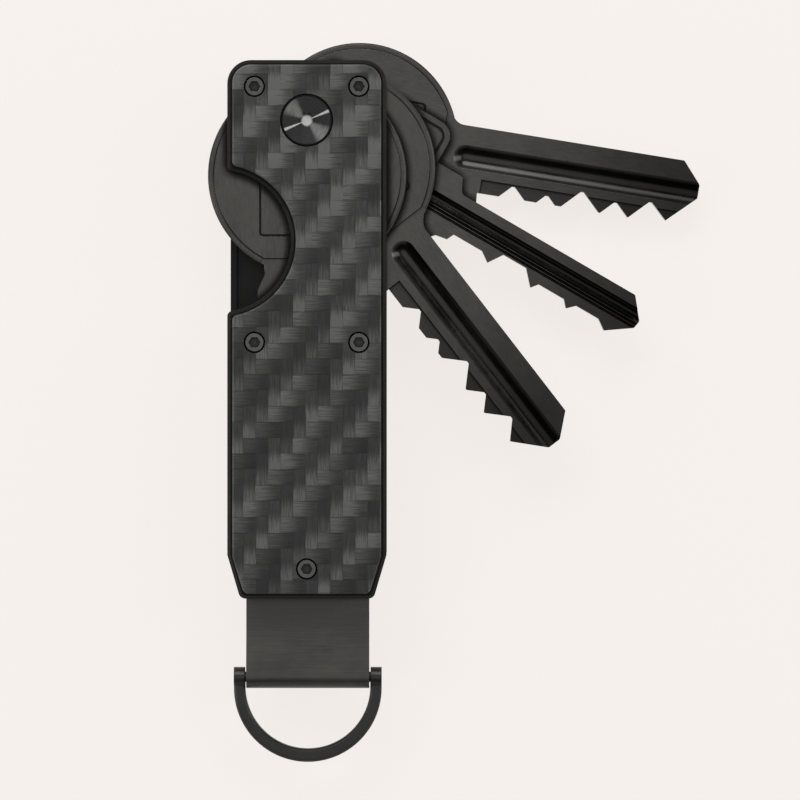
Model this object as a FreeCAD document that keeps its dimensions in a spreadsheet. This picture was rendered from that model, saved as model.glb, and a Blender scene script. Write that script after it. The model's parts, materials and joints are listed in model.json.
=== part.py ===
"""Pocket key organiser: two plates with carbon scales, four keys on one pivot, and a strap with a D-ring.

The frame: origin on the pivot's axis in the plane of the rear face, +Z out of the front face,
+Y from the strap end to the pivot end, +X to the side the keys swing out of.
Keys are drawn stored, pointing along -Y, and each is then turned about the pivot by its own swing.
"""
import FreeCAD, Part
import math
import os

from FreeCAD import Rotation, Vector

doc = FreeCAD.newDocument("key_organiser")

# ---------------------------------------------------------------- driving dimensions, in mm and degrees
CELLS = {
    # case outline, seen from the front
    "half_width": 11.1, "top_reach": 8.5, "foot_reach": 66.6, "foot_half": 9.3, "taper_reach": 60.5,
    "top_radius": 3.3, "foot_radius": 1.0, "scale_inset": 0.75,
    # case thicknesses, from the outside in
    "scale_thick": 1.2, "plate_thick": 1.4, "bay_gap": 10.0, "plate_bevel": 0.45, "scale_bevel": 0.22,
    # thumb notch in the front plate and scale
    "notch_side": 12.1, "notch_reach": 16.75, "notch_radius": 9.85, "notch_lip": 0.8,
    # relief in the inner face of the rear plate
    "relief_deep": 0.3, "relief_rim": 0.9, "relief_top": 9.0, "relief_foot": 57.5,
    # side spine with its dowels, and the two end blocks
    "spine_thick": 1.7, "spine_top": 28.8, "spine_foot": 58.0, "dowel_radius": 0.45, "dowel_grip": 0.8,
    "block_top": 58.6, "block_step": 0.6,
    # scale screws
    "screw_side": 7.26, "screw_upper": 4.7, "screw_lower": 30.9, "screw_end": 62.4,
    "cap_radius": 1.45, "cap_high": 0.6, "cap_room": 0.05, "cap_sunk": 0.1, "shank_radius": 0.8,
    "thread_short": 1.7, "thread_long": 4.4, "hex_radius": 0.82, "hex_deep": 0.45,
    "cap_bevel": 0.2,
    # pivot
    "post_radius": 2.0, "post_short": 0.4, "head_radius": 3.65, "head_high": 1.1, "head_room": 0.05,
    "bolt_radius": 1.25, "bolt_long": 8.0, "dish_deep": 0.3, "dish_rim": 0.3, "star_outer": 1.15,
    "star_inner": 0.75, "star_deep": 0.75, "washer_radius": 4.6, "washer_thick": 0.4,
    # keys
    "key_thick": 1.9, "key_room": 0.05, "hole_radius": 2.05, "bow_radius": 13.88, "bow_reach": 7.5,
    "ring_wide": 0.85, "ring_sunk": 0.14, "edge_bevel": 0.2, "blade_half": 4.6, "blade_sunk": 0.12,
    "groove_wide": 3.3, "groove_deep": 0.62, "groove_back": 2.8, "strip_back": 7.3, "strip_sunk": 0.32,
    "neck_angle": 28.0, "neck_reach": 19.1, "shoulder_reach": 25.4, "key_end": 60.0,
    "panel_reach": 8.55, "panel_half": 6.7, "panel_line": 0.28, "panel_deep": 0.15,
    "first_cut": 30.2, "cut_pitch": 4.9, "cut_flat": 0.2,
    "square_top": 2.6, "square_foot": 18.5, "square_half": 9.8, "square_corner": 2.4, "frame_in": 0.8,
    "frame_line": 0.35, "square_crest": 4.15, "rib_start": 17.0,
    "swing_one": 80.8, "swing_two": 59.8, "swing_three": 37.7, "swing_four": 0.0,
    "offset_one": 1.0, "offset_three": 0.64, "offset_four": 0.0,
    "grow_one": 0.996, "grow_three": 1.009, "grow_four": 1.0,
    # strap and D-ring
    "strap_half": 8.65, "sheet_thick": 0.8, "strap_top": 59.4, "bar_reach": 77.9, "curl_radius": 1.6,
    "bar_radius": 0.72, "bar_room": 0.08, "rivet_side": 5.0, "rivet_radius": 1.0, "rivet_half": 4.0,
    "ring_half": 10.4, "ring_inner": 8.8, "ring_thick": 1.7, "ring_inner_reach": 79.2,
    "ring_outer_reach": 79.45, "ring_bevel": 0.3, "lug_radius": 1.4, "lug_inner": 8.85,
}


def fill_sheet():
    sheet = doc.addObject("Spreadsheet::Sheet", "Sheet")
    for row, (alias, value) in enumerate(CELLS.items(), start=1):
        sheet.set(f"A{row}", alias)
        sheet.set(f"B{row}", str(value))
        sheet.setAlias(f"B{row}", alias)
    doc.recompute()
    return sheet


sheet = fill_sheet()


def cell(alias):
    return float(sheet.get(alias))


def bind(thing, **sizes):
    """Bind properties to formulas of sheet cells, such as Length="plate_thick + 2 * cap_room"."""
    for name, formula in sizes.items():
        words = [f"Sheet.{word}" if word in CELLS else word for word in formula.split()]
        thing.setExpression(name.replace("_of_", "."), " ".join(words))


# ---------------------------------------------------------------- outlines
def rounded_loop(corners):
    """A closed outline of straight runs, each corner (x, y, radius) rounded to its own radius."""
    turns = []
    for index, (x, y, radius) in enumerate(corners):
        here = Vector(x, y, 0)
        before = (Vector(*corners[index - 1][:2], 0) - here).normalize()
        after = (Vector(*corners[(index + 1) % len(corners)][:2], 0) - here).normalize()
        if radius == 0:
            turns.append((here, None, here))
            continue
        half = before.getAngle(after) / 2
        trim = radius / math.tan(half)
        inward = (before + after).normalize()
        middle = here + inward * (radius / math.sin(half) - radius)
        turns.append((here + before * trim, middle, here + after * trim))
    loop = []
    for index, (start, middle, end) in enumerate(turns):
        if middle is not None:
            loop.append(Part.Arc(start, middle, end))
        following = turns[(index + 1) % len(turns)][0]
        if end.distanceToPoint(following) > 1e-6:
            loop.append(Part.LineSegment(end, following))
    return loop


def circle(x, y, radius):
    return [Part.Circle(Vector(x, y, 0), Vector(0, 0, 1), radius)]


def polar(radius, degrees):
    return Vector(radius * math.cos(math.radians(degrees)), radius * math.sin(math.radians(degrees)), 0)


def star_loop(outer, inner, lobes=6):
    """The outline of a lobed socket: round lobes joined by round hollows."""
    step = 360 / lobes
    waist = (outer + inner) / 2
    loop = []
    for index in range(lobes):
        middle = index * step
        loop.append(Part.Arc(polar(waist, middle - step / 4), polar(outer, middle),
                             polar(waist, middle + step / 4)))
        loop.append(Part.Arc(polar(waist, middle + step / 4), polar(inner, middle + step / 2),
                             polar(waist, middle + step * 3 / 4)))
    return loop


def case_corners(inset):
    """The case's outline, drawn in by an inset: a rectangle that tapers at its foot."""
    side = cell("half_width") - inset
    foot = cell("foot_half") - inset * 0.75
    top = cell("top_reach") - inset
    bottom = -cell("foot_reach") + inset
    taper = -cell("taper_reach") - inset * 0.25
    round_top = cell("top_radius") - inset
    round_foot = cell("foot_radius")
    right = [(side, top, round_top), (side, taper, 0), (foot, bottom, round_foot)]
    return right + [(-x, y, radius) for x, y, radius in reversed(right)]


def notch_loop(edge, radius):
    """The thumb notch: a round bite in the left edge, with its two lips rounded over."""
    lip = cell("notch_lip")
    middle = Vector(-cell("notch_side"), -cell("notch_reach"), 0)
    across = -edge + lip - middle.x
    rise = math.sqrt((radius + lip) ** 2 - across ** 2)
    outside = -edge - 3 * lip
    loop = []
    ends = []
    for side in (1, -1):
        lip_centre = Vector(-edge + lip, middle.y + side * rise, 0)
        on_edge = Vector(-edge, lip_centre.y, 0)
        on_bite = middle + (lip_centre - middle).normalize() * radius
        between = lip_centre + ((on_edge + on_bite) * 0.5 - lip_centre).normalize() * lip
        loop.append(Part.Arc(on_edge, between, on_bite))
        loop.append(Part.LineSegment(on_edge, Vector(outside, on_edge.y, 0)))
        ends.append((on_bite, Vector(outside, on_edge.y, 0)))
    loop.append(Part.Arc(ends[0][0], middle + Vector(radius, 0, 0), ends[1][0]))
    loop.append(Part.LineSegment(ends[0][1], ends[1][1]))
    return loop


# ---------------------------------------------------------------- PartDesign helpers
def new_body(label):
    body = doc.addObject("PartDesign::Body", label)
    body.Label = label
    return body


def sketch_on(body, name, loops, role="XY_Plane", lift=0.0, turn=0.0, shift=(0.0, 0.0)):
    """A sketch on one of the body's own planes, lifted along its normal and turned in its plane."""
    plane = next(feature for feature in body.Origin.OriginFeatures if feature.Role == role)
    sketch = body.newObject("Sketcher::SketchObject", name)
    sketch.AttachmentSupport = [(plane, "")]
    sketch.MapMode = "FlatFace"
    sketch.AttachmentOffset = FreeCAD.Placement(Vector(*shift, lift), Rotation(Vector(0, 0, 1), turn))
    for loop in loops:
        for piece in loop:
            sketch.addGeometry(piece, False)
    return sketch


def pad(body, name, sketch, length, both_ways=False):
    feature = body.newObject("PartDesign::Pad", name)
    feature.Profile = sketch
    feature.Midplane = both_ways
    bind(feature, Length=length)
    body.Tip = feature
    doc.recompute()
    return feature


def pocket(body, name, sketch, length, upward=False):
    """Cut a sketch downward from its plane, or upward, and make sure that it removed material."""
    before = body.Shape.Volume
    feature = body.newObject("PartDesign::Pocket", name)
    feature.Profile = sketch
    feature.Reversed = upward
    bind(feature, Length=length)
    body.Tip = feature
    doc.recompute()
    if not body.Shape.Volume < before - 1e-4:
        raise RuntimeError(f"{body.Label}: {name} cut nothing")
    return feature


def bevel(body, name, height, size):
    """Chamfer every edge of the solid that lies in the plane at one height."""
    base = body.Tip
    names = []
    for index, edge in enumerate(base.Shape.Edges, start=1):
        box = edge.BoundBox
        if abs(box.ZMin - height) < 1e-5 and abs(box.ZMax - height) < 1e-5:
            names.append(f"Edge{index}")
    feature = body.newObject("PartDesign::Chamfer", name)
    feature.Base = (base, names)
    bind(feature, Size=size)
    body.Tip = feature
    doc.recompute()
    return feature


def cylinder(name, radius, height, x=0.0, y=0.0, lift="0"):
    """A Part cylinder along Z whose radius, height and foot are bound to the sheet."""
    solid = doc.addObject("Part::Cylinder", name)
    bind(solid, Radius=radius, Height=height)
    solid.Placement.Base = Vector(x, y, 0)
    bind(solid, Placement_of_Base_of_z=lift)
    return solid


def prism(name, radius, height, lift):
    solid = doc.addObject("Part::Prism", name)
    solid.Polygon = 6
    bind(solid, Circumradius=radius, Height=height, Placement_of_Base_of_z=lift)
    return solid


def fuse(name, solids):
    joined = doc.addObject("Part::MultiFuse", name)
    joined.Shapes = solids
    return joined


def cut(name, base, tool):
    left = doc.addObject("Part::Cut", name)
    left.Base = base
    left.Tool = tool
    return left


# ---------------------------------------------------------------- case: plates and scales
def screw_places():
    side = cell("screw_side")
    places = [(x, y) for y in (cell("screw_upper"), -cell("screw_lower")) for x in (-side, side)]
    return places + [(0.0, -cell("screw_end"))]


def plate(label, lift, front):
    """A metal plate, z = 0 on its inner face, with a bevelled rim outside and holes for its screws."""
    body = new_body(label)
    pad(body, f"{label}_sheet", sketch_on(body, f"{label}_outline", [rounded_loop(case_corners(0))]),
        "plate_thick")
    thick = cell("plate_thick")
    if front:
        bite = [notch_loop(cell("half_width"), cell("notch_radius"))]
        pocket(body, "front_notch", sketch_on(body, "front_notch_outline", bite, lift=thick), "plate_thick")
    bevel(body, f"{label}_rim", thick, "plate_bevel")
    holes = [circle(x, y, cell("shank_radius")) for x, y in screw_places()]
    holes.append(circle(0, 0, cell("post_radius")))
    pocket(body, f"{label}_holes", sketch_on(body, f"{label}_hole_places", holes, lift=thick),
           "plate_thick")
    side = 1 if front else -1
    seats = [circle(side * x, y, cell("dowel_radius")) for x, y in dowel_places()]
    pocket(body, f"{label}_dowel_seats", sketch_on(body, f"{label}_seat_places", seats), "dowel_grip",
           upward=True)
    if not front:
        rear_relief(body)
        body.Placement.Rotation = Rotation(Vector(0, 1, 0), 180)
    bind(body, Placement_of_Base_of_z=lift)
    return body


def rear_relief(body):
    """A shallow tray in the rear plate's inner face, so that the keys don't rub on it."""
    side = cell("half_width") - cell("relief_rim")
    top = -cell("relief_top")
    foot = -cell("relief_foot")
    tray = rounded_loop([(side, top, 1), (side, foot, 1), (-side, foot, 1), (-side, top, 1)])
    pocket(body, "rear_relief", sketch_on(body, "rear_relief_outline", [tray]), "relief_deep", upward=True)


def scale(label, lift, front):
    """A carbon scale, z = 0 on its inner face, with recesses for the screw caps and the pivot head."""
    body = new_body(label)
    inset = cell("scale_inset")
    pad(body, f"{label}_sheet", sketch_on(body, f"{label}_outline", [rounded_loop(case_corners(inset))]),
        "scale_thick")
    thick = cell("scale_thick")
    if front:
        bite = [notch_loop(cell("half_width") - inset, cell("notch_radius") + inset)]
        pocket(body, "scale_notch", sketch_on(body, "scale_notch_outline", bite, lift=thick), "scale_thick")
    bevel(body, f"{label}_edge", thick, "scale_bevel")
    caps = [circle(x, y, cell("cap_radius") + cell("cap_room")) for x, y in screw_places()]
    pocket(body, f"{label}_recesses", sketch_on(body, f"{label}_cap_places", caps, lift=thick),
           "cap_high + cap_sunk")
    holes = [circle(x, y, cell("shank_radius")) for x, y in screw_places()]
    holes.append(circle(0, 0, cell("head_radius") + cell("head_room")))
    pocket(body, f"{label}_holes", sketch_on(body, f"{label}_hole_places", holes, lift=thick),
           "scale_thick")
    if not front:
        body.Placement.Rotation = Rotation(Vector(0, 1, 0), 180)
    bind(body, Placement_of_Base_of_z=lift)
    return body


# ---------------------------------------------------------------- case: spine, dowels and end blocks
def dowel_places():
    side = -cell("half_width") + cell("relief_rim") / 2 + 0.1
    run = cell("spine_foot") - cell("spine_top")
    return [(side, -cell("spine_top") - run * share) for share in (0.12, 0.88)]


def side_spine():
    body = new_body("side_spine")
    outer = -cell("half_width")
    inner = outer + cell("spine_thick")
    top = -cell("spine_top")
    foot = -cell("spine_foot")
    wall = rounded_loop([(inner, top, 0.6), (inner, foot, 0), (outer, foot, 0), (outer, top, 0.6)])
    holes = [circle(x, y, cell("dowel_radius")) for x, y in dowel_places()]
    pad(body, "spine_wall", sketch_on(body, "spine_outline", [wall] + holes), "bay_gap")
    bind(body, Placement_of_Base_of_z="scale_thick + plate_thick")
    return body


def spine_dowels():
    pins = [cylinder(f"dowel_{index}", "dowel_radius", "bay_gap + 2 * dowel_grip", x, y,
                     "scale_thick + plate_thick - dowel_grip")
            for index, (x, y) in enumerate(dowel_places())]
    group = doc.addObject("Part::Compound", "spine_dowels")
    group.Links = pins
    return group


def clamp_holes():
    """The holes of the two rivets and the end screws, through the end blocks and the strap."""
    line = -cell("screw_end")
    holes = [circle(side * cell("rivet_side"), line, cell("rivet_radius")) for side in (-1, 1)]
    return holes + [circle(0, line, cell("shank_radius"))]


def end_block(label, lift):
    """Half of the block that closes the strap end and clamps the strap."""
    body = new_body(label)
    step = cell("block_step")
    side = cell("half_width") - step
    foot = cell("foot_half") - step
    top = -cell("block_top")
    taper = -cell("taper_reach")
    bottom = -cell("foot_reach") + step
    right = [(side, top, 0.5), (side, taper, 0), (foot, bottom, 0.5)]
    loop = rounded_loop(right + [(-x, y, radius) for x, y, radius in reversed(right)])
    holes = clamp_holes()
    pad(body, f"{label}_bar", sketch_on(body, f"{label}_outline", [loop] + holes),
        "bay_gap / 2 - sheet_thick")
    bind(body, Placement_of_Base_of_z=lift)
    return body


def strap_rivets():
    pins = [cylinder(f"rivet_{index}", "rivet_radius", "2 * rivet_half", side * cell("rivet_side"),
                     -cell("screw_end"), "scale_thick + plate_thick + bay_gap / 2 - rivet_half")
            for index, side in enumerate((-1, 1))]
    group = doc.addObject("Part::Compound", "strap_rivets")
    group.Links = pins
    return group


# ---------------------------------------------------------------- screws
def cap_screw(name, x, y, thread):
    """A socket cap screw hanging from the scale's outer face at z = 0."""
    cap = cylinder(f"{name}_cap", "cap_radius", "cap_high - cap_bevel", lift="- cap_sunk - cap_high")
    rim = doc.addObject("Part::Cone", f"{name}_rim")
    bind(rim, Radius1="cap_radius", Radius2="cap_radius - cap_bevel", Height="cap_bevel",
         Placement_of_Base_of_z="- cap_sunk - cap_bevel")
    shank = cylinder(f"{name}_shank", "shank_radius", thread, lift=f"- cap_sunk - cap_high - {thread}")
    socket = prism(f"{name}_socket", "hex_radius", "hex_deep + 1", "- cap_sunk - hex_deep")
    whole = cut(name, fuse(f"{name}_blank", [cap, rim, shank]), socket)
    whole.Placement.Base = Vector(x, y, 0)
    return whole


def screw_group(label, places, thread, front):
    screws = [cap_screw(f"{label}_{index}", x, y, thread) for index, (x, y) in enumerate(places)]
    group = doc.addObject("Part::Compound", label)
    group.Links = screws
    if front:
        bind(group, Placement_of_Base_of_z="2 * scale_thick + 2 * plate_thick + bay_gap")
    else:
        group.Placement.Rotation = Rotation(Vector(0, 1, 0), 180)
    return group


# ---------------------------------------------------------------- pivot
def dished_head(body, name, foot):
    """Revolve a round head, hollowed to a shallow cone, and sink a lobed socket in it."""
    outer = cell("head_radius")
    top = foot + cell("head_high")
    rim = outer - cell("dish_rim")
    well = top - cell("dish_deep")
    corners = [(0, foot), (outer, foot), (outer, top - 0.1), (outer - 0.1, top), (rim, top), (0, well)]
    loop = rounded_loop([(x, y, 0) for x, y in corners])
    turned = body.newObject("PartDesign::Revolution", name)
    turned.Profile = sketch_on(body, f"{name}_section", [loop], role="XZ_Plane")
    turned.ReferenceAxis = (turned.Profile[0], ["V_Axis"])
    turned.Angle = 360
    body.Tip = turned
    doc.recompute()
    star = star_loop(cell("star_outer"), cell("star_inner"))
    pocket(body, f"{name}_socket", sketch_on(body, f"{name}_star", [star], lift=top), "star_deep")


def pivot_screw():
    body = new_body("pivot_screw")
    shank = sketch_on(body, "bolt_section", [circle(0, 0, cell("bolt_radius"))],
                      lift=-cell("bolt_long"))
    pad(body, "bolt", shank, "bolt_long")
    dished_head(body, "bolt_head", 0)
    bind(body, Placement_of_Base_of_z="scale_thick + 2 * plate_thick + bay_gap")
    return body


def pivot_post():
    """The female half: a head under the rear scale and a bored barrel that carries the keys."""
    body = new_body("pivot_post")
    reach = cell("bay_gap") + 2 * cell("plate_thick") - cell("post_short")
    barrel = sketch_on(body, "barrel_section", [circle(0, 0, cell("post_radius"))], lift=-reach)
    pad(body, "barrel", barrel, "bay_gap + 2 * plate_thick - post_short")
    dished_head(body, "post_head", 0)
    bore = sketch_on(body, "barrel_bore", [circle(0, 0, cell("bolt_radius"))], lift=-reach)
    pocket(body, "barrel_thread", bore, "bolt_long + 1 - post_short", upward=True)
    body.Placement.Rotation = Rotation(Vector(0, 1, 0), 180)
    bind(body, Placement_of_Base_of_z="scale_thick")
    return body


def washer(label, level):
    """A flat washer on the post; level 0 lies on the rear plate, and each key lies on one washer."""
    lift = f"scale_thick + plate_thick + {level} * ( key_thick + 2 * key_room + washer_thick )"
    disc = cylinder(f"{label}_disc", "washer_radius", "washer_thick", lift=lift)
    hole = cylinder(f"{label}_hole", "post_radius", "washer_thick", lift=lift)
    return cut(label, disc, hole)


# ---------------------------------------------------------------- keys
def stored(reach, side, radius=0.0):
    """A corner of a stored key: reach from the pivot along -Y, side towards its teeth, which face -X."""
    return (-side, -reach, radius)


def stored_box(near, far, low, high, corner=0.0):
    """A rectangle on a stored key, from one reach to another and from one side to another."""
    return rounded_loop([stored(near, low, corner), stored(far, low, corner), stored(far, high, corner),
                         stored(near, high, corner)])


# depth of each cut below the crest, from the shoulder to the tip
ROUND_CUTS = (1.65, 1.15, 2.5, 1.75, 2.6)


def round_key_blade(offset, grow):
    """Neck, shoulder and toothed blade of a round-headed key, offset sideways and grown in length."""
    half = cell("blade_half")
    crest = offset + half
    tip_tooth = crest - 0.4
    flat = cell("cut_flat")
    corners = [stored(14, offset - 6.0), stored(19.7, offset - 6.0, 0.4), stored(21.1, offset - half, 1.9),
               stored(53.6, offset - half, 0.3), stored(56.3, offset - 1.5, 0.5),
               stored(56.3, offset + 0.4, 0.5), stored(52.3, tip_tooth, 0.1)]
    for index in reversed(range(len(ROUND_CUTS))):
        depth = ROUND_CUTS[index]
        middle = cell("first_cut") + index * cell("cut_pitch")
        if index + 1 < len(ROUND_CUTS):
            corners.append(stored(middle + depth + flat, crest, 0.1))
        corners += [stored(middle + flat, crest - depth, 0.1), stored(middle - flat, crest - depth, 0.1),
                    stored(middle - depth - flat, crest, 0.1)]
    shoulder = cell("shoulder_reach")
    corners += [stored(shoulder - 0.2, offset + half), stored(shoulder, offset + 7.0, 0.3),
                stored(23.5, offset + 6.9, 1.0), stored(21.3, offset + 5.9, 1.2),
                stored(14, offset + 6.6)]
    return rounded_loop([(x, y * grow, radius) for x, y, radius in corners])


def key_level(body, level, swing):
    """Lay a key on its washer and turn it about the pivot to its place in the fan."""
    step = "( key_thick + 2 * key_room + washer_thick )"
    lift = f"scale_thick + plate_thick + washer_thick + key_room + {level} * {step}"
    bind(body, Placement_of_Base_of_z=lift, Placement_of_Rotation_of_Angle=swing)


def both_faces(body, name, loops, depth):
    """Cut the same outline into a key's front and rear faces."""
    pocket(body, f"{name}_front", sketch_on(body, f"{name}_front_outline", loops, lift=cell("key_thick")),
           depth)
    pocket(body, f"{name}_rear", sketch_on(body, f"{name}_rear_outline", loops), depth, upward=True)


def turned_cut(body, name, loop, centre, role, angle=360.0):
    """Turn a section round an upright axis through centre, and cut it out of the key."""
    across, lift = centre
    section = sketch_on(body, f"{name}_section", [loop], role=role, shift=(across, 0), lift=lift)
    before = body.Shape.Volume
    groove = body.newObject("PartDesign::Groove", name)
    groove.Profile = section
    groove.ReferenceAxis = (section, ["V_Axis"])
    groove.Midplane = True
    groove.Angle = angle
    body.Tip = groove
    doc.recompute()
    if not body.Shape.Volume < before - 1e-3:
        raise RuntimeError(f"{body.Label}: {name} cut nothing")


def bow_ring(body, label, offset):
    """A sunk ring with a bevelled edge round the bow, on both faces, stopping at the neck."""
    edge = cell("bow_radius")
    inner = edge - cell("ring_wide")
    sunk = cell("ring_sunk")
    bevel_wide = cell("edge_bevel")
    clear = edge + 0.5
    for name, face, way in (("front", cell("key_thick"), -1), ("rear", 0.0, 1)):
        floor = face + way * sunk
        corners = [(inner, face), (clear, face), (clear, floor + way * bevel_wide),
                   (edge, floor + way * bevel_wide), (edge - bevel_wide, floor), (inner + 0.08, floor)]
        loop = rounded_loop([(*corner, 0) for corner in corners])
        turned_cut(body, f"{label}_{name}_ring", loop, (-cell("bow_reach"), -offset), "YZ_Plane",
                   360 - 2 * cell("neck_angle"))


def groove_arc(half, deep, face, way):
    """The height of a round-bottomed groove's floor, as a function of the distance from its middle."""
    radius = (half ** 2 + deep ** 2) / (2 * deep)
    return lambda across: face + way * (math.sqrt(radius ** 2 - across ** 2) - radius + deep)


def round_groove(body, name, side, wide, deep, start):
    """A round-bottomed groove along the blade on both faces, with a bowl-shaped start."""
    half = wide / 2
    past = cell("key_end")
    open_air = 0.5
    for face_name, face, way in (("front", cell("key_thick") - cell("blade_sunk"), -1),
                                 ("rear", cell("blade_sunk"), 1)):
        bottom = groove_arc(half, deep, face, way)
        outside = face - way * open_air
        left = Vector(-side - half, face, 0)
        right = Vector(-side + half, face, 0)
        middle = Vector(-side, bottom(0), 0)
        channel = [Part.Arc(left, middle, right), Part.LineSegment(right, Vector(right.x, outside, 0)),
                   Part.LineSegment(Vector(right.x, outside, 0), Vector(left.x, outside, 0)),
                   Part.LineSegment(Vector(left.x, outside, 0), left)]
        section = sketch_on(body, f"{name}_{face_name}_section", [channel], role="XZ_Plane", lift=past)
        pocket(body, f"{name}_{face_name}", section, str(past - start))
        bowl = [Part.Arc(Vector(0, bottom(0), 0), Vector(half / 2, bottom(half / 2), 0),
                         Vector(half, face, 0)),
                Part.LineSegment(Vector(half, face, 0), Vector(half, outside, 0)),
                Part.LineSegment(Vector(half, outside, 0), Vector(0, outside, 0)),
                Part.LineSegment(Vector(0, outside, 0), Vector(0, bottom(0), 0))]
        turned_cut(body, f"{name}_{face_name}_start", bowl, (-side, start), "XZ_Plane")


def panel_line(offset):
    """The outer and inner outlines of a thin square line round the middle of the bow."""
    middle = cell("bow_reach")
    loops = []
    for inset, corner in ((0.0, 0.6), (cell("panel_line"), 0.4)):
        reach = cell("panel_reach") - inset
        side = cell("panel_half") - inset
        loops.append(stored_box(middle - reach, middle + reach, offset - side, offset + side, corner))
    return loops


def key_hole(body, label):
    """The hole that a key turns on."""
    hole = circle(0, 0, cell("hole_radius"))
    place = sketch_on(body, f"{label}_hole_place", [hole], lift=cell("key_thick"))
    pocket(body, f"{label}_hole", place, "key_thick")


def round_key(label, level, swing, offset, grow):
    """A round-headed key: bow with a square panel line, one wide groove and a toothed edge."""
    body = new_body(label)
    bow = sketch_on(body, f"{label}_bow_outline", [circle(-offset, -cell("bow_reach"), cell("bow_radius"))])
    pad(body, f"{label}_bow", bow, "key_thick")
    pad(body, f"{label}_blade", sketch_on(body, f"{label}_blade_outline", [round_key_blade(offset, grow)]),
        "key_thick")
    bow_ring(body, label, offset)
    end = cell("key_end")
    both_faces(body, f"{label}_neck", [stored_box(cell("neck_reach"), end, offset - 9, offset + 9)],
               "blade_sunk")
    back = offset - cell("blade_half")
    wide = cell("groove_wide")
    round_groove(body, f"{label}_groove", back + cell("groove_back") + wide / 2, wide, cell("groove_deep"),
                 21.0 + wide / 2)
    strip = stored_box(cell("shoulder_reach"), end, back + cell("strip_back"), back + 12)
    both_faces(body, f"{label}_strip", [strip], "strip_sunk")
    both_faces(body, f"{label}_panel", panel_line(offset), "panel_deep")
    key_hole(body, label)
    key_level(body, level, swing)
    return body


# the square key's grooves: place across the blade, width and depth
RIBS = ((-0.05, 1.8, 0.55), (1.15, 0.36, 0.2), (1.65, 0.34, 0.14))


def square_bow(inset):
    side = cell("square_half") - inset
    return stored_box(inset - cell("square_top"), cell("square_foot") - inset, -side, side,
                      cell("square_corner") - inset)


def square_key(label, level, swing):
    """A square-headed key with a slimmer blade, narrow ribs and flat-bottomed cuts."""
    body = new_body(label)
    pad(body, f"{label}_bow", sketch_on(body, f"{label}_bow_outline", [square_bow(0)]), "key_thick")
    crest = cell("square_crest")
    blade = rounded_loop([
        stored(10, -4.55), stored(22.6, -4.55, 0.3), stored(23.7, -2.4, 0.8), stored(52.0, -2.4, 0.3),
        stored(54.4, 0.5, 0.5), stored(54.2, 1.7, 0.4), stored(50.7, crest, 0.1), stored(49.2, 3.1, 0.1),
        stored(45.6, 3.1, 0.1), stored(44.5, crest, 0.1), stored(43.6, 3.15, 0.1), stored(39.5, 3.15, 0.1),
        stored(38.7, crest, 0.1), stored(36.8, 2.05, 0.1), stored(33.1, 2.05, 0.1), stored(31.7, crest, 0.1),
        stored(30.2, 3.1, 0.1), stored(25.6, 3.1, 0.1), stored(25.1, crest, 0.1),
        stored(23.4, crest + 0.3, 0.4), stored(22.4, 5.6, 0.6), stored(10, 5.6)])
    pad(body, f"{label}_blade", sketch_on(body, f"{label}_blade_outline", [blade]), "key_thick")
    neck = stored_box(cell("square_foot"), cell("key_end"), -11, 11)
    both_faces(body, f"{label}_neck", [neck], "blade_sunk")
    inner = cell("frame_in") + cell("frame_line")
    both_faces(body, f"{label}_frame", [square_bow(cell("frame_in")), square_bow(inner)], "panel_deep")
    for index, (middle, wide, deep) in enumerate(RIBS):
        round_groove(body, f"{label}_groove_{index}", middle, wide, deep, cell("rib_start"))
    key_hole(body, label)
    key_level(body, level, swing)
    return body


# ---------------------------------------------------------------- strap and D-ring
MIDDLE = "scale_thick + plate_thick + bay_gap / 2"


def strap_loop():
    """A sheet strip folded round the ring's bar, its two tails clamped between the end blocks."""
    body = new_body("strap_loop")
    bar = -cell("bar_reach")
    curl = cell("curl_radius")
    tail = cell("sheet_thick")
    side = [(-cell("strap_top"), tail, 0), (bar + 6.5, tail, 8), (bar + 0.8, curl, 4),
            (bar - curl, curl, curl * 0.999)]
    loop = rounded_loop(side + [(y, -z, radius) for y, z, radius in reversed(side)])
    eye = circle(bar, 0, cell("bar_radius") + cell("bar_room"))
    section = sketch_on(body, "strap_section", [loop, eye], role="YZ_Plane")
    pad(body, "strap_sheet", section, "2 * strap_half", both_ways=True)
    top = cell("sheet_thick") + 1
    holes = clamp_holes()
    pocket(body, "strap_holes", sketch_on(body, "strap_hole_places", holes, lift=top), "2 * sheet_thick + 2")
    bind(body, Placement_of_Base_of_z=MIDDLE)
    return body


def ring_loop(half, reach, top):
    """Legs that run down from the bar and close in a half circle."""
    foot = Vector(0, -reach - half, 0)
    left = Vector(-half, -reach, 0)
    right = Vector(half, -reach, 0)
    upper_left = Vector(-half, top, 0)
    upper_right = Vector(half, top, 0)
    return [Part.Arc(left, foot, right), Part.LineSegment(right, upper_right),
            Part.LineSegment(upper_right, upper_left), Part.LineSegment(upper_left, left)]


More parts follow.
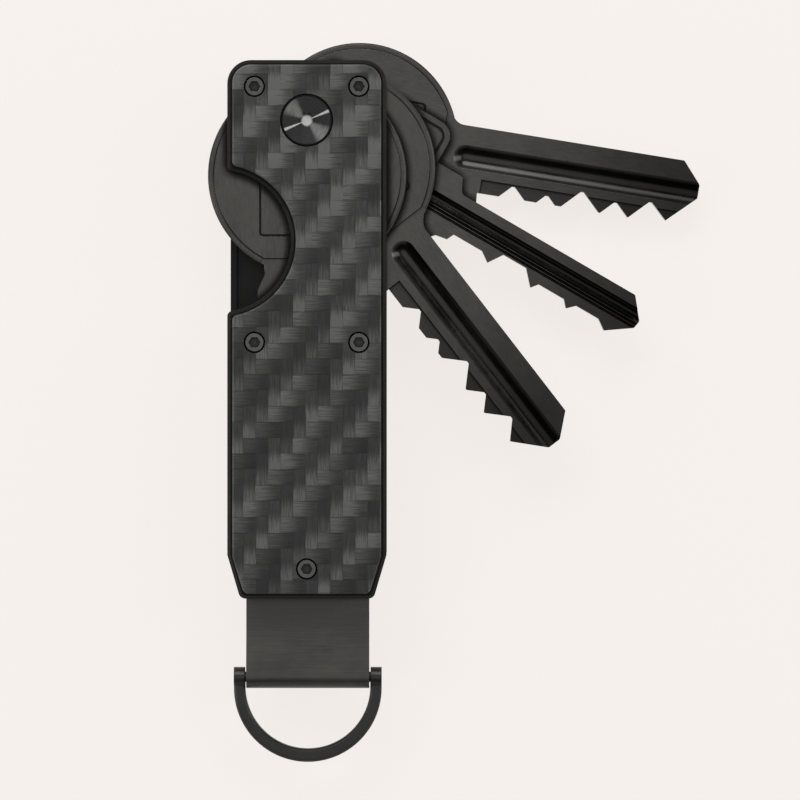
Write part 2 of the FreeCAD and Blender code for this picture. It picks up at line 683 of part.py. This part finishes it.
def d_ring():
    body = new_body("d_ring")
    bar = -cell("bar_reach")
    thick = cell("ring_thick")
    outline = sketch_on(body, "ring_outline", [ring_loop(cell("ring_half"), cell("ring_outer_reach"), bar)],
                        lift=-thick / 2)
    pad(body, "ring_band", outline, "ring_thick")
    inside = ring_loop(cell("ring_inner"), cell("ring_inner_reach"), bar + 1)
    window = sketch_on(body, "ring_window", [inside], lift=thick / 2)
    pocket(body, "ring_opening", window, "ring_thick")
    bevel(body, "ring_front_bevel", thick / 2, "ring_bevel")
    bevel(body, "ring_rear_bevel", -thick / 2, "ring_bevel")
    for name, start in (("left", -cell("ring_half")), ("right", cell("lug_inner"))):
        lug = sketch_on(body, f"{name}_lug_outline", [circle(bar, 0, cell("lug_radius"))], role="YZ_Plane",
                        lift=start)
        pad(body, f"{name}_lug", lug, "ring_half - lug_inner")
    eye = sketch_on(body, "lug_eyes", [circle(bar, 0, cell("bar_radius"))], role="YZ_Plane",
                    lift=cell("ring_half"))
    pocket(body, "lug_bore", eye, "2 * ring_half")
    bind(body, Placement_of_Base_of_z=MIDDLE)
    return body


def d_ring_bar():
    bar = doc.addObject("Part::Cylinder", "d_ring_bar")
    bind(bar, Radius="bar_radius", Height="2 * ring_half")
    bar.Placement.Rotation = Rotation(Vector(0, 1, 0), 90)
    bind(bar, Placement_of_Base_of_x="- ring_half", Placement_of_Base_of_y="- bar_reach",
         Placement_of_Base_of_z=MIDDLE)
    return bar


# ---------------------------------------------------------------- the assembly
def build():
    ends = screw_places()[-1:]
    short = screw_places()[:-1]
    parts = [
        plate("front_plate", "scale_thick + plate_thick + bay_gap", True),
        plate("rear_plate", "scale_thick + plate_thick", False),
        scale("front_scale", "scale_thick + 2 * plate_thick + bay_gap", True),
        scale("rear_scale", "scale_thick", False),
        side_spine(),
        spine_dowels(),
        end_block("rear_end_block", "scale_thick + plate_thick"),
        end_block("front_end_block", MIDDLE + " + sheet_thick"),
        strap_rivets(),
        screw_group("front_scale_screws", short, "thread_short", True),
        screw_group("rear_scale_screws", short, "thread_short", False),
        screw_group("front_end_screw", ends, "thread_long", True),
        screw_group("rear_end_screw", ends, "thread_long", False),
        pivot_screw(),
        pivot_post(),
        strap_loop(),
        d_ring(),
        d_ring_bar(),
    ]
    parts += [washer(f"washer_{level + 1}", level) for level in range(5)]
    parts.append(round_key("key_1", 0, "swing_one", cell("offset_one"), cell("grow_one")))
    parts.append(square_key("key_2", 1, "swing_two"))
    parts.append(round_key("key_3", 2, "swing_three", cell("offset_three"), cell("grow_three")))
    parts.append(round_key("key_4", 3, "swing_four", cell("offset_four"), cell("grow_four")))
    return parts


def write(parts):
    doc.recompute()
    for thing in doc.Objects:
        if "Invalid" in thing.State or "Error" in thing.State:
            raise RuntimeError(f"{thing.Name} failed: {thing.State}")
    for part in parts:
        if part.Shape.isNull() or not part.Shape.isValid() or not part.Shape.Solids:
            raise RuntimeError(f"{part.Label} has no valid solid")
    os.makedirs("parts", exist_ok=True)
    for part in parts:
        part.Shape.exportStep(f"parts/{part.Label}.step")
        box = part.Shape.BoundBox
        print(f"{part.Label:20s} solids {len(part.Shape.Solids)} volume {part.Shape.Volume:9.2f}  "
              f"x {box.XMin:7.2f} {box.XMax:7.2f}  y {box.YMin:7.2f} {box.YMax:7.2f}  "
              f"z {box.ZMin:6.2f} {box.ZMax:6.2f}")


write(build())
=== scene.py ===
"""Looks of the pocket key organiser: carbon twill scales, black coated metal, spun pivot head, satin strap.

Places are in metres in the part's own frame: +Z out of the front face, +Y to the pivot end.
Patterns of the materials are in millimetres.
"""

import json
import math

import bpy
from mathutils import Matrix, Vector


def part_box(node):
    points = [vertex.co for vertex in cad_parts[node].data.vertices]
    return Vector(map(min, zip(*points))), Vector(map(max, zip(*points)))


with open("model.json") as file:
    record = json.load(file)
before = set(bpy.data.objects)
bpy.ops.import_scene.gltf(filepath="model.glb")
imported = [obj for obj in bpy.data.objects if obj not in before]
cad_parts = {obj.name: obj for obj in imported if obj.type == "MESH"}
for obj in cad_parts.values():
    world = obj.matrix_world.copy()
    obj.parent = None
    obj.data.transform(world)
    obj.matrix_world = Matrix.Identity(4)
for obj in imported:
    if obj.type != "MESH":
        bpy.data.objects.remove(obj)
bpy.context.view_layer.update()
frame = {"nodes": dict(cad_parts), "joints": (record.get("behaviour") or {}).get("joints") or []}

MM = 0.001
NODES = frame["nodes"]
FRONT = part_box("front_scale")[1].z

# turn of each key's blade about +Z from its stored place, read from its joint's lower limit
KEY_JOINTS = [joint for joint in frame["joints"] if joint["child"].startswith("key")]
KEY_TURN = {joint["child"]: -joint["range_deg"][0] for joint in KEY_JOINTS}

CAMERA_AWAY = 550 * MM      # from the front face
VIEW_WIDE = 111.2 * MM      # width seen in the plane of the front face
VIEW_CENTRE = Vector((12.98 * MM, -38.9 * MM, 0))
SENSOR = 36.0


# ---------------------------------------------------------------- node helpers
class Tree:
    """A material with a Principled shader, and short calls that add nodes to it."""

    def __init__(self, name, **sockets):
        self.material = bpy.data.materials.new(name)
        self.material.use_nodes = True
        self.nodes = self.material.node_tree.nodes
        self.links = self.material.node_tree.links
        self.shader = self.nodes["Principled BSDF"]
        for socket, value in sockets.items():
            self.shader.inputs[socket.replace("_", " ")].default_value = value

    def add(self, kind, sockets=None, **settings):
        node = self.nodes.new(kind)
        for key, value in settings.items():
            setattr(node, key, value)
        for key, value in (sockets or {}).items():
            self.put(node.inputs[key], value)
        return node

    def put(self, socket, value):
        """Join an output to a socket, or set the socket to a number or colour."""
        if isinstance(value, bpy.types.NodeSocket):
            self.links.new(value, socket)
        else:
            socket.default_value = value

    def maths(self, operation, *values):
        node = self.add("ShaderNodeMath", operation=operation)
        for socket, value in zip(node.inputs, values):
            self.put(socket, value)
        return node.outputs[0]

    def ramp(self, value, low, high, to_low=0.0, to_high=1.0, smooth=True):
        node = self.add("ShaderNodeMapRange", interpolation_type="SMOOTHSTEP" if smooth else "LINEAR")
        for socket, item in zip(("Value", "From Min", "From Max", "To Min", "To Max"),
                                (value, low, high, to_low, to_high)):
            self.put(node.inputs[socket], item)
        return node.outputs[0]

    def mix(self, share, first, second):
        node = self.add("ShaderNodeMix", data_type="RGBA", clamp_factor=True)
        self.put(node.inputs[0], share)
        self.put(node.inputs[6], first)
        self.put(node.inputs[7], second)
        return node.outputs[2]

    def choose(self, share, first, second):
        node = self.add("ShaderNodeMix", data_type="FLOAT", clamp_factor=True)
        self.put(node.inputs[0], share)
        self.put(node.inputs[2], first)
        self.put(node.inputs[3], second)
        return node.outputs[0]

    def place(self, turn=0.0, stretch=(1, 1, 1), shift=(0, 0, 0)):
        """Object coordinates in millimetres, turned about +Z and stretched."""
        where = self.add("ShaderNodeTexCoord").outputs["Object"]
        turned = self.add("ShaderNodeVectorRotate", {"Vector": where, "Angle": -math.radians(turn)},
                          rotation_type="Z_AXIS").outputs[0]
        scaled = self.add("ShaderNodeVectorMath", {0: turned, 1: tuple(1000 * s for s in stretch)},
                          operation="MULTIPLY").outputs[0]
        return self.add("ShaderNodeVectorMath", {0: scaled, 1: shift}, operation="ADD").outputs[0]

    def axes(self, vector):
        return self.add("ShaderNodeSeparateXYZ", {0: vector}).outputs

    def from_pivot(self):
        """Distance from the pivot's axis in millimetres."""
        x, y, _ = self.axes(self.place())
        return self.maths("POWER", self.maths("MULTIPLY_ADD", x, x, self.maths("MULTIPLY", y, y)), 0.5)

    def noise(self, vector, size=1.0, detail=3.0, rough=0.55):
        """Noise from 0 to 1 whose features are about one size across, in the vector's units."""
        return self.add("ShaderNodeTexNoise", {"Vector": vector, "Scale": 1 / size, "Detail": detail,
                                               "Roughness": rough}).outputs["Fac"]

    def bump(self, height, deep, normal):
        """Bump on top of a normal, whose height of 1 stands for deep metres."""
        node = self.add("ShaderNodeBump", {"Height": height, "Distance": deep, "Normal": normal})
        return node.outputs[0]

    def soft_edges(self, radius):
        """Normal with its edges rounded over a radius in metres."""
        return self.add("ShaderNodeBevel", {"Radius": radius}, samples=6).outputs[0]

    def finish(self, colour=None, rough=None, normal=None):
        for name, value in (("Base Color", colour), ("Roughness", rough), ("Normal", normal)):
            if value is not None:
                self.put(self.shader.inputs[name], value)
        return self.material


def grey(level, warm=0.0):
    return (level * (1 + warm), level, level * (1 - warm), 1)


# ---------------------------------------------------------------- materials
TOW_WIDE = 1.73         # mm between warp tows, across the scale
TOW_HIGH = 2.2          # mm between weft tows, along the scale
REPEAT = 4              # tows in one repeat of the twill
FLOAT = 2               # tows that one float passes over
WANDER = (0.35, 0.3)    # mm that warp and weft stray from a straight line
FIBRE = 0.16            # mm across a bundle of fibres
ALONG = 0.05            # how much slower a fibre changes along its length


def carbon_material(name):
    """2/2 twill of carbon tows under a thin resin coat: each float shows its own fibres and crown, and a
    painted sheen.
    """
    tree = Tree(name, Metallic=0.0, IOR=1.5, Specular_IOR_Level=0.35, Coat_Weight=0.1, Coat_Roughness=0.25,
                Coat_IOR=1.5)
    where = tree.place()
    wobble = tree.noise(where, 5.0, 1.0)
    x, y, _ = tree.axes(where)
    column = tree.maths("DIVIDE", tree.maths("ADD", x, tree.maths("MULTIPLY", wobble, WANDER[0])), TOW_WIDE)
    row = tree.maths("DIVIDE", tree.maths("ADD", y, tree.maths("MULTIPLY", wobble, WANDER[1])), TOW_HIGH)
    column_index = tree.maths("FLOOR", column)
    row_index = tree.maths("FLOOR", row)
    diagonal = tree.maths("SUBTRACT", column_index, row_index)
    weft = tree.maths("LESS_THAN", tree.maths("FLOORED_MODULO", diagonal, REPEAT), FLOAT - 0.5)
    # place across each tow and along its float, both from 0 to 1
    weft_across = tree.maths("FRACT", row)
    warp_across = tree.maths("FRACT", column)
    weft_place = tree.maths("FLOORED_MODULO", tree.maths("SUBTRACT", column, row_index), REPEAT)
    warp_place = tree.maths("FLOORED_MODULO", tree.maths("SUBTRACT", column_index, row), REPEAT)
    weft_along = tree.maths("DIVIDE", weft_place, FLOAT)
    warp_along = tree.maths("DIVIDE", tree.maths("SUBTRACT", warp_place, 1), FLOAT)
    across = tree.choose(weft, warp_across, weft_across)
    along = tree.choose(weft, warp_along, weft_along)
    crown = tree.maths("SINE", tree.maths("MULTIPLY", across, math.pi))
    rise = tree.maths("SINE", tree.maths("MULTIPLY", along, math.pi))
    # fine fibres along each tow
    warp_fibres = tree.noise(tree.place(stretch=(1, ALONG, 1)), FIBRE, 3.0, 0.7)
    weft_fibres = tree.noise(tree.place(stretch=(ALONG, 1, 1)), FIBRE, 3.0, 0.7)
    fibres = tree.choose(weft, warp_fibres, weft_fibres)
    # painted sheen: each float is given its own brightness in the colour, in place of its own reflection
    band = tree.maths("FLOOR", tree.maths("DIVIDE", diagonal, REPEAT))
    cell = tree.add("ShaderNodeCombineXYZ", {0: tree.choose(weft, column_index, band),
                                             1: tree.choose(weft, band, row_index), 2: weft}).outputs[0]
    own = tree.add("ShaderNodeTexWhiteNoise", {"Vector": cell}, noise_dimensions="3D").outputs["Value"]
    painted_sheen = tree.choose(weft, tree.ramp(own, 0, 1, 0.25, 1.05, smooth=False),
                        tree.ramp(own, 0, 1, 0.2, 1.05, smooth=False))
    fleck = tree.ramp(fibres, 0.3, 0.7, 0.5, 1.5)
    # painted light along each float: bright at one end and fading to dark at the other
    painted_falloff = tree.choose(weft, tree.ramp(along, 0.35, 0.9, 0.3, 1.3), tree.ramp(along, 0.05, 0.9, 1.3, 0.3))
    level = tree.maths("MULTIPLY", tree.maths("MULTIPLY", painted_sheen, fleck), tree.ramp(crown, 0, 0.35, 0.6, 1))
    # painted light: the scale is painted brighter towards the pivot end, where the key light falls
    level = tree.maths("MULTIPLY", level, tree.ramp(y, -34, 2, 0.8, 1.36))
    colour = tree.mix(tree.maths("MULTIPLY", level, painted_falloff), grey(0.005), grey(0.115, 0.01))
    height = tree.choose(0.5, crown, rise)
    # the cut edge shows the stacked plies in place of the weave
    upright = tree.maths("ABSOLUTE", tree.axes(tree.add("ShaderNodeTexCoord").outputs["Normal"])[2])
    cut_edge = tree.ramp(upright, 0.3, 0.5, 1, 0)
    plies = tree.noise(tree.place(stretch=(0.1, 0.1, 1)), 0.14, 2.0, 0.6)
    colour = tree.mix(cut_edge, colour, tree.mix(tree.ramp(plies, 0.35, 0.65), grey(0.006), grey(0.06)))
    height = tree.choose(cut_edge, height, plies)
    rounded = tree.soft_edges(0.08 * MM)
    normal = tree.bump(fibres, 0.012 * MM, tree.bump(height, 0.09 * MM, rounded))
    tree.put(tree.shader.inputs["Coat Normal"], rounded)
    return tree.finish(colour, tree.choose(fibres, 0.34, 0.5), normal)


GRAIN = 0.12                # mm across a line of the drawn grain
CLOUD = 6.0                 # mm across a patch of lighter or darker coating
SPECK = 0.18                # mm across a speck in the coating
HOLLOW_REACH = 1.4          # mm within which a neighbour casts painted shade on a surface
CUT_SHADE = (0.14, 0.3)     # mm below a key's face where the painted shade of a cut starts and where it is darkest
TIP_SHADE = (20, 58)        # mm from the pivot where a blade's painted fall-off of light starts and where it is darkest


def coated_metal(name, level, rough, turn=0.0, grain=(1, 0.04, 1), warm=0.0, metallic=0.6, edge=0.1,
                 depth=0.004, hollow_shade=0.5, faces=None):
    """Black coated metal with a drawn grain, with painted shade in its corners, hollows and under
    neighbouring parts.

    faces gives the heights of a key's rear and front faces: its cuts get painted shade, and its tip a
    painted fall-off of light.
    """
    tree = Tree(name, Metallic=metallic, IOR=1.5, Specular_IOR_Level=0.5)
    drawn = tree.noise(tree.place(turn, grain), GRAIN, 3.0, 0.7)
    cloud = tree.noise(tree.place(turn), CLOUD, 3.0, 0.6)
    speck = tree.noise(tree.place(turn), SPECK, 2.0, 0.5)
    share = tree.choose(0.6, cloud, drawn)
    colour = tree.mix(tree.ramp(share, 0.3, 0.7), grey(level * 0.75, warm), grey(level * 1.3, warm))
    # painted shade: the colour darkens where ambient occlusion finds neighbours close, in corners, hollows
    # and under overhanging parts
    open_sky = tree.add("ShaderNodeAmbientOcclusion", {"Distance": HOLLOW_REACH * MM}, samples=8)
    painted_shade_keep = tree.ramp(open_sky.outputs["AO"], 0.7, 0.995, 1 - hollow_shade, 1)
    if faces is not None:
        _, _, z = tree.axes(tree.place())
        rear, front = (height / MM for height in faces)
        # painted shade in the key's cuts, darker the deeper they lie below its faces
        deep = tree.maths("MINIMUM", tree.maths("SUBTRACT", front, z), tree.maths("SUBTRACT", z, rear))
        painted_cut_shade = tree.ramp(deep, *CUT_SHADE, 1, 0.62)
        # painted fall-off of light: the blade is painted darker towards its tip
        painted_tip_falloff = tree.ramp(tree.from_pivot(), *TIP_SHADE, 1, 0.3)
        painted_shade_keep = tree.maths("MULTIPLY", painted_shade_keep, tree.maths("MULTIPLY", painted_cut_shade, painted_tip_falloff))
    colour = tree.mix(painted_shade_keep, grey(level * 0.04), colour)
    shine = tree.ramp(tree.choose(0.5, cloud, drawn), 0.3, 0.7, rough - 0.05, rough + 0.07)
    height = tree.maths("ADD", drawn, tree.maths("MULTIPLY", speck, 0.5))
    return tree.finish(colour, shine, tree.bump(height, depth * MM, tree.soft_edges(edge * MM)))


RING_PITCH = 0.14               # mm between the head's turned rings
RAY_TURN = math.radians(23)     # of the narrow painted highlight ray, from +X
FAN_TURN = math.radians(140)    # of the broad painted sheen fan, from +X
SOCKET_EDGE = (0.95, 0.55)      # mm from the axis over which the socket's painted highlight takes over
RIM_EDGE = (3.25, 3.4)          # mm from the axis over which the rim's painted black, standing for the shaded gap around the head, takes over


def spun_metal(name, level):
    """Turned head: fine rings about the pivot, with a painted highlight ray and a painted fan of light and
    shaded sectors.
    """
    tree = Tree(name, Metallic=0.85, IOR=1.5)
    x, y, _ = tree.axes(tree.place())
    far = tree.from_pivot()
    angle = tree.maths("ARCTAN2", y, x)
    rings = tree.maths("SINE", tree.maths("MULTIPLY", far, 2 * math.pi / RING_PITCH))
    around = tree.add("ShaderNodeCombineXYZ", {0: far, 1: tree.maths("MULTIPLY", angle, 0.15), 2: 0.0})
    tooling = tree.noise(around.outputs[0], 0.09, 3.0, 0.7)
    # doubling the angle repeats each painted highlight ray on the far side of the axis
    ray = tree.maths("COSINE", tree.maths("MULTIPLY", tree.maths("SUBTRACT", angle, RAY_TURN), 2))
    fan = tree.maths("COSINE", tree.maths("MULTIPLY", tree.maths("SUBTRACT", angle, FAN_TURN), 2))
    # painted highlight: a narrow bright ray and a broad dim fan painted into the colour, on the real
    # tooling marks
    painted_highlight = tree.maths("ADD", tree.ramp(ray, 0.985, 1.0, 0, 1.0), tree.ramp(fan, 0.5, 1.0, 0, 0.25))
    marks = tree.ramp(tooling, 0.25, 0.75, 0.6, 1.4)
    highlight_and_tooling = tree.maths("MULTIPLY", tree.maths("ADD", painted_highlight, 0.05), marks)
    # painted highlight on the socket's floor, and painted shade on the head's rim, which is black for the
    # shaded gap around it
    socket_highlight = tree.ramp(far, *SOCKET_EDGE, 0.0, 0.9)
    inside_rim = tree.ramp(far, *RIM_EDGE, 1, 0)
    share = tree.maths("MULTIPLY", tree.maths("MAXIMUM", highlight_and_tooling, socket_highlight), inside_rim)
    colour = tree.mix(share, grey(level * 0.2), grey(level * 22))
    height = tree.maths("ADD", tree.maths("MULTIPLY", rings, 0.35), tooling)
    return tree.finish(colour, tree.choose(tooling, 0.24, 0.4), tree.bump(height, 0.006 * MM,
                                                                           tree.soft_edges(0.08 * MM)))


def floor_material():
    """A lit table top: most of its light is its own, so that shadows on it stay faint."""
    tree = Tree("pale_floor", Metallic=0.0, Roughness=0.9, Emission_Color=(0.822, 0.784, 0.754, 1),
                Emission_Strength=1.0)
    fine = tree.noise(tree.place(), 1.2, 2.0)
    return tree.finish(tree.mix(fine, (0.1, 0.097, 0.094, 1), (0.11, 0.107, 0.104, 1)))


def dress(material, *names):
    for name in names:
        slots = NODES[name].data.materials
        slots.clear()
        slots.append(material)


def dress_all():
    dress(carbon_material("carbon_twill"), "front_scale", "rear_scale")
    frame_black = coated_metal("frame_black", 0.016, 0.3, metallic=0.9, edge=0.12)
    dress(frame_black, "front_plate", "rear_plate", "side_spine", "front_end_block", "rear_end_block")
    screw_black = coated_metal("screw_black", 0.1, 0.24, grain=(1, 1, 1), metallic=0.85, edge=0.08,
                               hollow_shade=0.85)
    dress(screw_black, *(name for name in NODES if name.endswith(("scale_screws", "end_screw"))))
    dress(coated_metal("washer_steel", 0.25, 0.3, metallic=1.0), *(f"washer_{n}" for n in range(1, 6)),
          "spine_dowels", "strap_rivets")
    dress(spun_metal("pivot_spun", 0.03), "pivot_screw", "pivot_post")
    strap_satin = coated_metal("strap_satin", 0.07, 0.34, grain=(0.02, 1, 1), warm=0.07, hollow_shade=0.7)
    dress(strap_satin, "strap_loop")
    ring_satin = coated_metal("ring_satin", 0.034, 0.34, grain=(1, 1, 1), warm=0.02, edge=0.2, hollow_shade=0.3)
    dress(ring_satin, "d_ring", "d_ring_bar")
    for name, turn in KEY_TURN.items():
        faces = [corner.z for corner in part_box(name)]
        key_black = coated_metal(f"{name}_black", 0.072, 0.2, turn=turn, grain=(1, 0.08, 1), warm=0.05,
                                 metallic=0.96, depth=0.001, hollow_shade=0.95, faces=faces)
        dress(key_black, name)


# ---------------------------------------------------------------- stage
FLOOR_HALF = 1.5


def make_floor():
    """A square floor in the plane of the rear face."""
    corners = [(x * FLOOR_HALF, y * FLOOR_HALF, 0) for x, y in ((-1, -1), (1, -1), (1, 1), (-1, 1))]
    mesh = bpy.data.meshes.new("floor")
    mesh.from_pydata(corners, [], [(0, 1, 2, 3)])
    mesh.materials.append(floor_material())
    floor = bpy.data.objects.new("floor", mesh)
    bpy.context.collection.objects.link(floor)


def make_camera():
    data = bpy.data.cameras.new("camera")
    data.sensor_width = SENSOR
    data.lens = SENSOR * CAMERA_AWAY / VIEW_WIDE
    data.clip_start = 0.01
    camera = bpy.data.objects.new("camera", data)
    camera.location = VIEW_CENTRE + Vector((0, 0, FRONT + CAMERA_AWAY))
    bpy.context.collection.objects.link(camera)
    bpy.context.scene.camera = camera


LIT_POINT = Vector((0.01, -0.03, 0))

# name, place, size and watts of each soft light
LIGHTS = (
    ("key_light", (-0.12, 0.42, 0.5), (0.7, 0.3), 2.8),
    ("rim_light", (0.5, 0.1, 0.35), (0.25, 0.6), 1.2),
    ("side_light", (-0.5, -0.1, 0.3), (0.2, 0.5), 0.8),
)


def area_light(name, place, size, power):
    data = bpy.data.lights.new(name, "AREA")
    data.shape = "RECTANGLE"
    data.size, data.size_y = size
    data.energy = power
    light = bpy.data.objects.new(name, data)
    light.location = place
    light.rotation_euler = (LIT_POINT - light.location).to_track_quat("-Z", "Y").to_euler()
    bpy.context.collection.objects.link(light)


# brightness of the studio dome, by the sine of the height above the horizon
DOME = ((0.0, 0.85), (0.15, 0.5), (0.42, 0.4), (0.54, 0.02), (0.93, 0.02), (0.985, 0.95))


def make_world():
    """A dome with a dark band between its horizon and its top, so black metal keeps its contrast."""
    world = bpy.data.worlds.new("studio")
    world.use_nodes = True
    nodes = world.node_tree.nodes
    links = world.node_tree.links
    where = nodes.new("ShaderNodeTexCoord")
    split = nodes.new("ShaderNodeSeparateXYZ")
    ramp = nodes.new("ShaderNodeValToRGB")
    ramp.color_ramp.interpolation = "EASE"
    steps = ramp.color_ramp.elements
    for place, _ in DOME[len(steps):]:
        steps.new(place)
    for step, (place, level) in zip(steps, DOME):
        step.position = place
        step.color = (level, level, level, 1)
    links.new(where.outputs["Generated"], split.inputs[0])
    links.new(split.outputs["Z"], ramp.inputs[0])
    links.new(ramp.outputs[0], nodes["Background"].inputs["Strength"])
    nodes["Background"].inputs["Color"].default_value = (1.0, 0.985, 0.97, 1)
    bpy.context.scene.world = world


def make_lights():
    for light in LIGHTS:
        area_light(*light)
    make_world()
    bpy.context.scene.view_settings.view_transform = "Standard"


dress_all()
make_floor()
make_camera()
make_lights()
